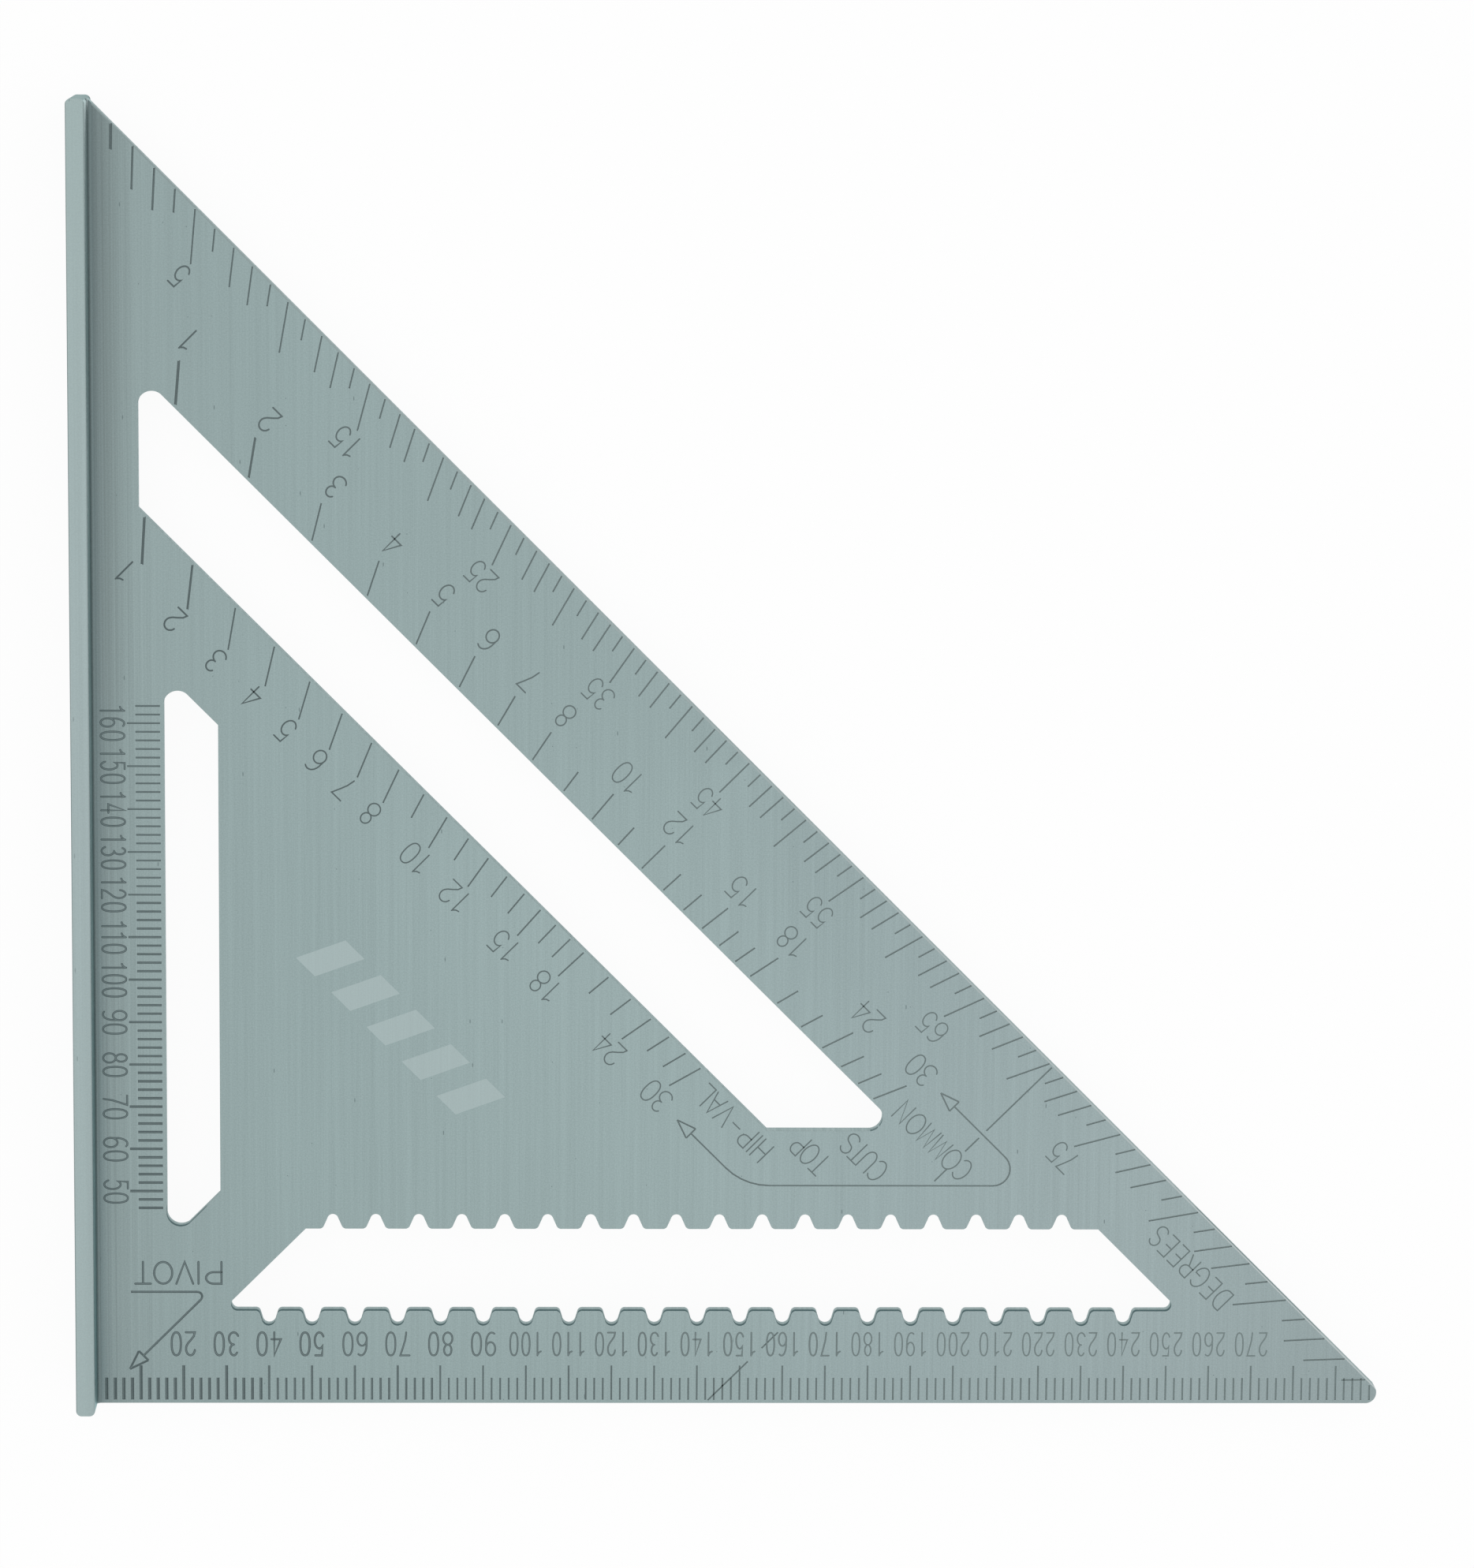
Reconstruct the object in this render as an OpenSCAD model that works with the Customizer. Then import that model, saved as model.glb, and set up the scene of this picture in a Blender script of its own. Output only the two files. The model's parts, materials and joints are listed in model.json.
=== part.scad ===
// Rafter square: a right-angled blade with a T-shaped fence along one leg.
// Frame: X runs along the heel away from the fence, Y runs along the fence,
// Z points out of the marked face. The origin is the pivot point, on the
// marked face, where the degree rays meet and both ruler scales read zero.

/* [Blade] */
// Distance from the pivot to where the hypotenuse crosses each axis
leg = 302.8; // [250:0.1:365]
// Thickness of the blade
blade_t = 4; // [3:0.1:5]
// Metal between the pivot and the heel edge
heel_margin = 0.5; // [0.3:0.1:1]
// Radius of the rounded tip of the blade
tip_r = 2.6; // [1:0.1:4]
// Bevel along the marked side of the straight edges
edge_bevel = 0.3; // [0.15:0.05:0.4]

/* [Fence] */
// How far the fence runs past the heel edge
fence_overhang = 1.2; // [0.5:0.1:2]
// How far the fence runs past the upper corner of the blade
fence_top = 0.3; // [0.2:0.1:1]
// Thickness of the fence
fence_t = 4.4; // [3.5:0.1:6]
// Height of the fence above the marked face
fence_rise = 8; // [6:0.5:12]
// Depth of the fence below the back of the blade
fence_drop = 8; // [6:0.5:12]
// Radius of the long outer edges of the fence
fence_edge_r = 0.4; // [0.2:0.1:1.5]
// Radius of the corners at the two ends of the fence
fence_end_r = 1.3; // [0.5:0.1:1.7]
// Radius of the fillet between the blade and the fence
root_r = 1; // [0.5:0.1:2]

/* [Diagonal slot] */
// Metal between the hypotenuse and the diagonal slot
rafter_web = 35.9; // [30:0.1:40]
// Width of the diagonal slot
rafter_slot_w = 22.3; // [15:0.1:25]
// Distance of the slot's upright end from the fence
rafter_slot_x = 10.9; // [8:0.1:14]
// Distance of the slot's level end from the pivot
rafter_slot_y = 64.55; // [60:0.05:75]
// Radius of the slot's two sharp ends
slot_r = 3.3; // [2:0.1:4]

/* [Fence-side slot] */
// Distance of the slot from the fence
hand_slot_x = 16.4; // [16.2:0.1:18]
// Width of the slot
hand_slot_w = 12.5; // [10:0.1:14]
// Metal between this slot and the diagonal slot
hand_slot_web = 22.6; // [18:0.1:27]
// Height above the pivot at which the lower slanted end would cross the fence
hand_slot_low = 20.7; // [18:0.1:24]

/* [Notched slot] */
// Height of the notched lower edge above the pivot
scribe_y = 21.6; // [20:0.1:23]
// Width of the slot between its two notched edges
scribe_w = 19.6; // [15:0.1:24]
// Where the left slanted end would cross the X axis
scribe_left = 7.5; // [4:0.1:12]
// Metal between the hypotenuse and the slot's right end
scribe_tip_web = 19.8; // [16:0.1:25]
// Radius of the slot's two sharp ends
scribe_r = 1.55; // [1:0.05:1.6]
// Distance between neighbouring scribing notches
notch_pitch = 10; // [9:0.1:12]
// Radius at the bottom of a lower notch
low_notch_r = 1.6; // [1.2:0.05:1.9]
// Depth of a lower notch
low_notch_depth = 3.55; // [3:0.05:3.8]
// Radius at the bottom of an upper notch
high_notch_r = 1.3; // [1:0.05:1.6]
// Depth of an upper notch
high_notch_depth = 3.5; // [3:0.05:3.8]
// Slant of the flanks of a lower notch, in degrees
low_notch_flank = 17; // [5:1:25]
// Slant of the flanks of an upper notch, in degrees
high_notch_flank = 24; // [5:1:28]
// Radius where a notch flank meets the slot's edge
notch_lip_r = 1.2; // [0.3:0.05:1.3]

/* [Marks] */
// Depth of the engraved grooves
groove_depth = 0.2; // [0.1:0.05:0.4]
// Thickness of the darkened layer on the groove floors
mark_t = 0.05; // [0.02:0.01:0.08]
// Width of the ruler marks
ruler_w = 0.4; // [0.25:0.05:0.6]
// Width of the marks of the angle and pitch scales, and of the guide lines
line_w = 0.35; // [0.25:0.05:0.6]
// Width of the pivot arrow's line
arrow_w = 0.5; // [0.3:0.05:0.6]
// Step of the ruler scales
ruler_step = 2; // [2:1:5]
// Length of a short mark of the heel ruler
ruler_short = 5.25; // [4:0.05:6]
// Length of a long mark of the heel ruler
ruler_long = 8.2; // [7:0.1:9]
// Length of a short mark of the fence ruler
fence_ruler_short = 5.65; // [4:0.05:6]
// Length of a long mark of the fence ruler
fence_ruler_long = 7.6; // [7:0.1:9]
// Height of the lowest mark of the fence ruler
fence_ruler_start = 46; // [46:2:60]
// Gap between a scale mark and the edge of the hypotenuse
edge_gap = 0.4; // [0.35:0.05:1]
// Gap between a pitch mark and the edge of the diagonal slot
slot_gap = 0.65; // [0.45:0.05:1]

/* [Hidden] */
$fn = 64;
METAL = [0.58, 0.65, 0.65];
FENCE_METAL = [0.62, 0.69, 0.69];
MARK = [0.41, 0.47, 0.47];

root2 = sqrt(2);
past = 1;                 // how far a cut runs past the metal that it cuts
small = 0.01;
kink = 8;                 // angle at which an arc crosses the straight edge that it rounds
bend_step = 9;            // largest turn between the straight marks of a bend

// Lines at 45 degrees are given by x + y, or by x - y
rafter_high = leg - rafter_web * root2;
rafter_low = rafter_high - rafter_slot_w * root2;
hand_high = rafter_low - hand_slot_web * root2;
hand_right = hand_slot_x + hand_slot_w;
fence_len = fence_overhang + heel_margin + leg + fence_top;
scribe_top = scribe_y + scribe_w;
scribe_right = leg - scribe_tip_web * root2;

// Depths of the angle marks, measured square to the edge that they start from
degree_short = 4.05;
degree_medium = 7.1;
degree_long = 9.6;
pitch_short = 6.1;
pitch_long = 8.25;
bevel_gap = 0.2;                  // from a bevel to the marks that start beside it
run_common = 12;                  // inches of run for a common rafter
run_hip = run_common * root2;     // and for a hip or valley rafter
LONG_PITCHES = [1, 2, 3, 4, 5, 6, 7, 8, 10, 12, 15, 18, 24, 30];
SHORT_PITCHES = [9, 11, 13, 14, 16, 17, 20, 22, 26, 28];

// Pivot arrow: a level line and a diagonal that points at the pivot
arrow_y = 26.1;
arrow_x0 = 8;
arrow_turn_r = 1.1;
arrow_tip = 7.65;
head_len = 4.5;
head_half = 1.55;

// Bracket that joins the two pitch scales, with an arrowhead at each end
bracket_y = 51.6;
bracket_left_gap = 12.93;         // from its left arm to the diagonal slot
bracket_right_gap = 12.71;        // from its right arm to the diagonal slot
bracket_left_r = 14.3;
bracket_right_r = 4;
bracket_left_tip_y = 67.15;
bracket_right_tip_y = 73.65;
bracket_left = rafter_low - bracket_left_gap * root2;
bracket_right = rafter_high + bracket_right_gap * root2;

// Guide line square to the hypotenuse, in the stretches that the other marks leave free
guide_gap = 13.77;                // from the sharp end of the diagonal slot
guide_spans = [[0.2, 9.5], [12.7, 16.5], [52.7, 55.5], [59.8, 63]];
guide_last_from = 64.7;
guide_x = rafter_high - 2 * rafter_slot_y + guide_gap * root2;

function unit(v) = v / norm(v);

// ---- two-dimensional helpers ----

// What is removed to round the corner b of an outline a-b-c with radius r
module corner_waste(a, b, c, r) {
    u = unit(a - b);
    v = unit(c - b);
    half = acos(u * v) / 2;
    mid = unit(u + v);
    inset = r * cos(kink);
    centre = b + mid * inset / sin(half);
    difference() {
        polygon([b - mid * past, b + u * inset / tan(half), centre, b + v * inset / tan(half)]);
        translate(centre) circle(r);
    }
}

module rounded_box(size, r) {
    translate([r, 0]) square([size[0] - 2 * r, size[1]]);
    translate([0, r]) square([size[0], size[1] - 2 * r]);
    for (x = [r, size[0] - r], y = [r, size[1] - r]) translate([x, y]) circle(r);
}

// Notch that runs down from the line y = 0: round bottom, slanted flanks, round lips
module notch(r, depth, flank) {
    low = depth - r;
    lip_y = notch_lip_r * cos(kink);
    lip_x = ((r + notch_lip_r) * cos(kink) + (low - lip_y) * sin(flank)) / cos(flank);
    across = [cos(flank), -sin(flank)];
    foot = [0, -low] + across * r * cos(kink);
    chord = [lip_x, -lip_y] - across * lip_y;
    top = foot + [sin(flank), cos(flank)] * (depth + past);
    translate([0, -low]) circle(r);
    polygon([[-foot[0], foot[1]], foot, top, [-top[0], top[1]]]);
    difference() {
        translate([-lip_x, chord[1]]) square([2 * lip_x, past - chord[1]]);
        for (x = [-lip_x, lip_x]) translate([x, -lip_y]) circle(notch_lip_r);
    }
}

// ---- outlines of the blade and its slots ----

// The blade starts where the root fillets of the fence end
module blade_outline() {
    corner = [root_r, -heel_margin];
    tip = [leg + heel_margin, -heel_margin];
    top = [root_r, leg - root_r];
    difference() {
        polygon([corner, tip, top]);
        corner_waste(corner, tip, top, tip_r);
    }
}

module diagonal_slot() {
    p = [[rafter_slot_x, rafter_low - rafter_slot_x], [rafter_low - rafter_slot_y, rafter_slot_y],
         [rafter_high - rafter_slot_y, rafter_slot_y], [rafter_slot_x, rafter_high - rafter_slot_x]];
    difference() {
        polygon(p);
        corner_waste(p[1], p[2], p[3], slot_r);
        corner_waste(p[2], p[3], p[0], slot_r);
    }
}

module hand_slot() {
    p = [[hand_slot_x, hand_slot_low + hand_slot_x], [hand_right, hand_slot_low + hand_right],
         [hand_right, hand_high - hand_right], [hand_slot_x, hand_high - hand_slot_x]];
    difference() {
        polygon(p);
        corner_waste(p[3], p[0], p[1], slot_r);
        corner_waste(p[2], p[3], p[0], slot_r);
    }
}

// The notches stand at whole pitches on the lower edge and halfway between on the upper
first_low = ceil((scribe_left + scribe_y + scribe_r + notch_pitch / 2) / notch_pitch);
last_low = floor((scribe_right - scribe_y - notch_pitch) / notch_pitch);
first_high = ceil((scribe_left + scribe_top) / notch_pitch);
last_high = floor((scribe_right - scribe_top) / notch_pitch) - 1;

module notched_slot() {
    p = [[scribe_left + scribe_y, scribe_y], [scribe_right - scribe_y, scribe_y],
         [scribe_right - scribe_top, scribe_top], [scribe_left + scribe_top, scribe_top]];
    difference() {
        polygon(p);
        corner_waste(p[3], p[0], p[1], scribe_r);
        corner_waste(p[0], p[1], p[2], scribe_r);
    }
    for (i = [first_low : last_low])
        translate([i * notch_pitch, scribe_y]) notch(low_notch_r, low_notch_depth, low_notch_flank);
    for (i = [first_high : last_high])
        translate([(i + 0.5) * notch_pitch, scribe_top]) mirror([0, 1])
            notch(high_notch_r, high_notch_depth, high_notch_flank);
}

// Bevel along the marked side of the edge p-q, with the metal to the left of p-q
module edge_cut(p, q) {
    d = q - p;
    b = edge_bevel;
    translate([p[0], p[1], 0]) rotate([0, 0, atan2(d[1], d[0])]) rotate([90, 0, 90])
        linear_extrude(norm(d))
            polygon([[b + small, small], [-small, -b - small], [-small, small]]);
}

module edge_bevels() {
    end = slot_r * (1 + root2);
    edge_cut([leg - tip_r, tip_r], [root_r, leg - root_r]);
    edge_cut([hand_slot_x, hand_high - hand_slot_x - end], [hand_slot_x, hand_slot_low + hand_slot_x + end]);
    edge_cut([hand_right, hand_slot_low + hand_right], [hand_right, hand_high - hand_right]);
    edge_cut([rafter_slot_x, rafter_high - rafter_slot_x - end], [rafter_slot_x, rafter_low - rafter_slot_x]);
    edge_cut([rafter_slot_x, rafter_low - rafter_slot_x], [rafter_low - rafter_slot_y, rafter_slot_y]);
    edge_cut([rafter_low - rafter_slot_y, rafter_slot_y], [rafter_high - rafter_slot_y - end, rafter_slot_y]);
}

// ---- marks ----

// Straight mark from p to q, standing on the groove floor
module stroke(p, q, w, h) {
    d = q - p;
    translate([p[0], p[1], -groove_depth]) rotate([0, 0, atan2(d[1], d[0])])
        translate([0, -w / 2, 0]) cube([norm(d), w, h]);
}

// Curved mark about centre, as short straight marks that overlap where they meet
module bend(centre, r, from, to, w, h) {
    steps = ceil((to - from) / bend_step);
    turn = (to - from) / steps;
    reach = w / 4 / r * 180 / PI;
    for (i = [0 : steps - 1]) {
        a = from + i * turn - reach;
        b = from + (i + 1) * turn + reach;
        stroke(centre + r * [cos(a), sin(a)], centre + r * [cos(b), sin(b)], w, h);
    }
}

module arrowhead(tip, heading, w, h) {
    along = [cos(heading), sin(heading)];
    side = [-sin(heading), cos(heading)];
    left = tip - along * head_len + side * head_half;
    right = tip - along * head_len - side * head_half;
    stroke(tip, left, w, h);
    stroke(left, right, w, h);
    stroke(right, tip, w, h);
}

// Mark on a ray through the pivot, angle from the Y axis, between two lines x + y
module ray(angle, sum0, sum1, h) {
    way = [sin(angle), cos(angle)] / (sin(angle) + cos(angle));
    stroke(way * sum0, way * sum1, line_w, h);
}

function ruler_len(v, long, short) = v % 10 == 0 ? long : short;

module heel_marks(h) {
    tip_x = leg + heel_margin - tip_r * root2;
    last = floor((tip_x - ruler_w) / ruler_step) * ruler_step;
    for (x = [ruler_step : ruler_step : last]) {
        room = leg - x - edge_gap * root2 - ruler_w;
        top = edge_bevel + ruler_len(x, ruler_long, ruler_short);
        stroke([x, edge_bevel], [x, min(top, room)], ruler_w, h);
    }
}

module fence_marks(h) {
    right = hand_slot_x - edge_bevel - 0.5;
    last = floor((hand_high - hand_slot_x - slot_r * (1 + root2)) / ruler_step) * ruler_step;
    for (y = [fence_ruler_start : ruler_step : last])
        stroke([right - ruler_len(y, fence_ruler_long, fence_ruler_short), y], [right, y], ruler_w, h);
}

function degree_len(a) = a % 5 == 0 ? degree_long : (a % 5 == 1 || a % 5 == 4) ? degree_short : degree_medium;

module degree_marks(h) {
    start = leg - edge_gap * root2;
    for (a = [1 : 89]) ray(a, start, start - degree_len(a) * root2, h);
}

module pitch_marks(run, edge, gap, side, h) {
    start = edge + side * gap * root2;
    for (n = LONG_PITCHES) ray(atan(n / run), start, edge + side * pitch_long * root2, h);
    for (n = SHORT_PITCHES) ray(atan(n / run), start, edge + side * pitch_short * root2, h);
}

module common_marks(h) {
    pitch_marks(run_common, rafter_high, slot_gap, 1, h);
}

module hip_marks(h) {
    pitch_marks(run_hip, rafter_low - edge_bevel * root2, bevel_gap, -1, h);
}

module arrow_marks(h) {
    turn_x = arrow_y - arrow_turn_r * (1 + root2);
    neck = arrow_tip + head_len / root2;
    foot = turn_x + arrow_turn_r / root2;
    stroke([arrow_x0, arrow_y], [turn_x, arrow_y], arrow_w, h);
    bend([turn_x, arrow_y - arrow_turn_r], arrow_turn_r, -45, 90, arrow_w, h);
    stroke([foot, foot], [neck, neck], arrow_w, h);
    arrowhead([arrow_tip, arrow_tip], 225, arrow_w, h);
}

module bracket_marks(h) {
    bend_x = bracket_left - bracket_y + bracket_left_r * (root2 - 1);
    turn_x = bracket_right - bracket_y - bracket_right_r * (1 + root2);
    left_foot = [bend_x - bracket_left_r / root2, bracket_y + bracket_left_r * (1 - 1 / root2)];
    right_foot = [turn_x + bracket_right_r / root2, bracket_y + bracket_right_r * (1 + 1 / root2)];
    left_tip = [bracket_left - bracket_left_tip_y, bracket_left_tip_y];
    right_tip = [bracket_right - bracket_right_tip_y, bracket_right_tip_y];
    back = [1, -1] * head_len / root2;
    stroke(left_tip + back, left_foot, line_w, h);
    bend([bend_x, bracket_y + bracket_left_r], bracket_left_r, 225, 270, line_w, h);
    stroke([bend_x, bracket_y], [turn_x, bracket_y], line_w, h);
    bend([turn_x, bracket_y + bracket_right_r], bracket_right_r, -90, 45, line_w, h);
    stroke(right_foot, right_tip + back, line_w, h);
    arrowhead(left_tip, 135, line_w, h);
    arrowhead(right_tip, 135, line_w, h);
}

module guide_marks(h) {
    last_to = (leg - guide_x - edge_gap * root2 - line_w) / 2;
    for (s = concat(guide_spans, [[guide_last_from, last_to]]))
        stroke([guide_x + s[0], s[0]], [guide_x + s[1], s[1]], line_w, h);
}

module all_marks(h) {
    heel_marks(h);
    fence_marks(h);
    degree_marks(h);
    common_marks(h);
    hip_marks(h);
    arrow_marks(h);
    bracket_marks(h);
    guide_marks(h);
}

// ---- sub-parts ----

module blade() {
    color(METAL) difference() {
        translate([0, 0, -blade_t]) linear_extrude(blade_t) difference() {
            blade_outline();
            diagonal_slot();
            hand_slot();
            notched_slot();
        }
        edge_bevels();
        all_marks(groove_depth + past);
    }
}

// Sections of the fence in X and Z: the bar, and the root with its two fillets
module bar_section() {
    translate([-fence_t, -blade_t - fence_drop])
        rounded_box([fence_t, fence_drop + blade_t + fence_rise], fence_edge_r);
}

module root_section() {
    difference() {
        translate([-fence_end_r, -blade_t - root_r])
            square([fence_end_r + root_r, blade_t + 2 * root_r]);
        for (z = [root_r, -blade_t - root_r]) translate([root_r, z]) circle(root_r);
    }
}

module fence() {
    height = fence_drop + blade_t + fence_rise;
    bottom = -blade_t - fence_drop;
    low_end = -heel_margin - fence_overhang;
    color(FENCE_METAL) {
        intersection() {
            translate([0, low_end + fence_len, 0]) rotate([90, 0, 0]) linear_extrude(fence_len) bar_section();
            translate([-fence_t, low_end, bottom - past]) linear_extrude(height + 2 * past)
                rounded_box([fence_t, fence_len], fence_end_r);
        }
        intersection() {
            translate([0, leg, 0]) rotate([90, 0, 0]) linear_extrude(leg + heel_margin) root_section();
            translate([0, 0, bottom]) linear_extrude(height)
                polygon([[-fence_end_r, -heel_margin], [root_r, -heel_margin],
                         [root_r, leg - root_r], [0, leg], [-fence_end_r, leg]]);
        }
    }
}

module heel_scale() { color(MARK) heel_marks(mark_t); }
module fence_scale() { color(MARK) fence_marks(mark_t); }
module degree_scale() { color(MARK) degree_marks(mark_t); }
module common_scale() { color(MARK) common_marks(mark_t); }
module hip_valley_scale() { color(MARK) hip_marks(mark_t); }
module pivot_arrow() { color(MARK) arrow_marks(mark_t); }
module top_cuts_bracket() { color(MARK) bracket_marks(mark_t); }
module bevel_guide_line() { color(MARK) guide_marks(mark_t); }

blade();
fence();
heel_scale();
fence_scale();
degree_scale();
common_scale();
hip_valley_scale();
pivot_arrow();
top_cuts_bracket();
bevel_guide_line();
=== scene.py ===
import json
import math

import bpy
from mathutils import Matrix, Vector


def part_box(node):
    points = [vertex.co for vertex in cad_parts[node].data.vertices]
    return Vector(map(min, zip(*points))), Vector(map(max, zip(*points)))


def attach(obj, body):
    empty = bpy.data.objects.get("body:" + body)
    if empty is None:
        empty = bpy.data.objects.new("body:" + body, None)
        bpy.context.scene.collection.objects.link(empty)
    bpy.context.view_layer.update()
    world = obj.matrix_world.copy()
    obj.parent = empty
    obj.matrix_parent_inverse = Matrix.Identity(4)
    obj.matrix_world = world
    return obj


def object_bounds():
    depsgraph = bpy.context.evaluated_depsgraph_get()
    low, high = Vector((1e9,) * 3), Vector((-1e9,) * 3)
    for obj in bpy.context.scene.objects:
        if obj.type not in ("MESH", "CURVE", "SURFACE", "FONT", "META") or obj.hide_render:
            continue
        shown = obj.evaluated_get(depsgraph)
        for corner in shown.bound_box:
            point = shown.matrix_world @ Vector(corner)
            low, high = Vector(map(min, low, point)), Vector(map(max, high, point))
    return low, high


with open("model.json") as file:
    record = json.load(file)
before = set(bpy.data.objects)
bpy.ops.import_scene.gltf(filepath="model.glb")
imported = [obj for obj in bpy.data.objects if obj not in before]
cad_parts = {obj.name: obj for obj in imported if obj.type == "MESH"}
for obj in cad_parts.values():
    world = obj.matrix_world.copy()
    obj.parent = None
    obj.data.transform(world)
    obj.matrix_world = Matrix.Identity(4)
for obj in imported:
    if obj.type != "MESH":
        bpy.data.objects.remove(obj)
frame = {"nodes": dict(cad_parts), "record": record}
cad_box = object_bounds()

# ---------------------------------------------------------------- sizes taken from the frame
MM = 0.001                                   # a millimetre, in Blender's metres
ROOT2 = math.sqrt(2)
blade_lo, blade_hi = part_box("blade")
fence_lo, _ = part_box("fence")
_, arrow_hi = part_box("pivot_arrow")
face = blade_hi.z / MM                       # the marked face, in mm
openings = {o["name"]: o["box_m"] for o in frame["record"]["physics"]["openings"]}
slot_lo, slot_hi = [Vector(corner) for corner in openings["scribing_slot"]]


def sums(node):
    """Lowest and highest x + y of a node, in mm."""
    values = [(v.co.x + v.co.y) / MM for v in frame["nodes"][node].data.vertices]
    return min(values), max(values)


degree_in = sums("degree_scale")[0]          # x + y of the inner ends of the long degree marks
common_out = sums("common_scale")[1]         # and of the outer ends of the common marks
hip_in = sums("hip_valley_scale")[0]         # and of the inner ends of the hip and valley marks

# ---------------------------------------------------------------- camera, at the photograph's angle
FOCAL = 8000 / 1988                          # focal length over the frame's height
SENSOR = 36                                  # mm, along the frame's height
TURN = (8.88, -1.64, 0.31)                   # degrees, away from looking straight down
OFFSET = Vector((-149.40, 144.06, 1474.0))   # mm, from the camera to the origin, y down, z away
FLIP = Matrix.Diagonal((1, -1, -1))          # between y up, z to the viewer and y down, z away


def photo_camera():
    data = bpy.data.cameras.new("camera")
    data.sensor_width = SENSOR
    data.lens = FOCAL * SENSOR
    data.clip_start = 0.05
    data.clip_end = 20
    camera = bpy.data.objects.new("camera", data)
    bpy.context.scene.collection.objects.link(camera)
    turn = Vector([math.radians(a) for a in TURN])
    into_view = Matrix.Rotation(turn.length, 3, turn.normalized()) @ FLIP
    out_of_view = into_view.transposed()
    place = -(out_of_view @ (OFFSET * MM))
    camera.matrix_world = Matrix.Translation(place) @ (out_of_view @ FLIP).to_4x4()
    bpy.context.scene.camera = camera


photo_camera()


# ---------------------------------------------------------------- node helpers
def rgb(r, g, b):
    """A colour given as it looks on a screen, 0 to 255, as linear values."""
    out = []
    for v in (r, g, b):
        v /= 255
        out.append(v / 12.92 if v <= 0.04045 else ((v + 0.055) / 1.055) ** 2.4)
    return (*out, 1.0)


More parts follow.
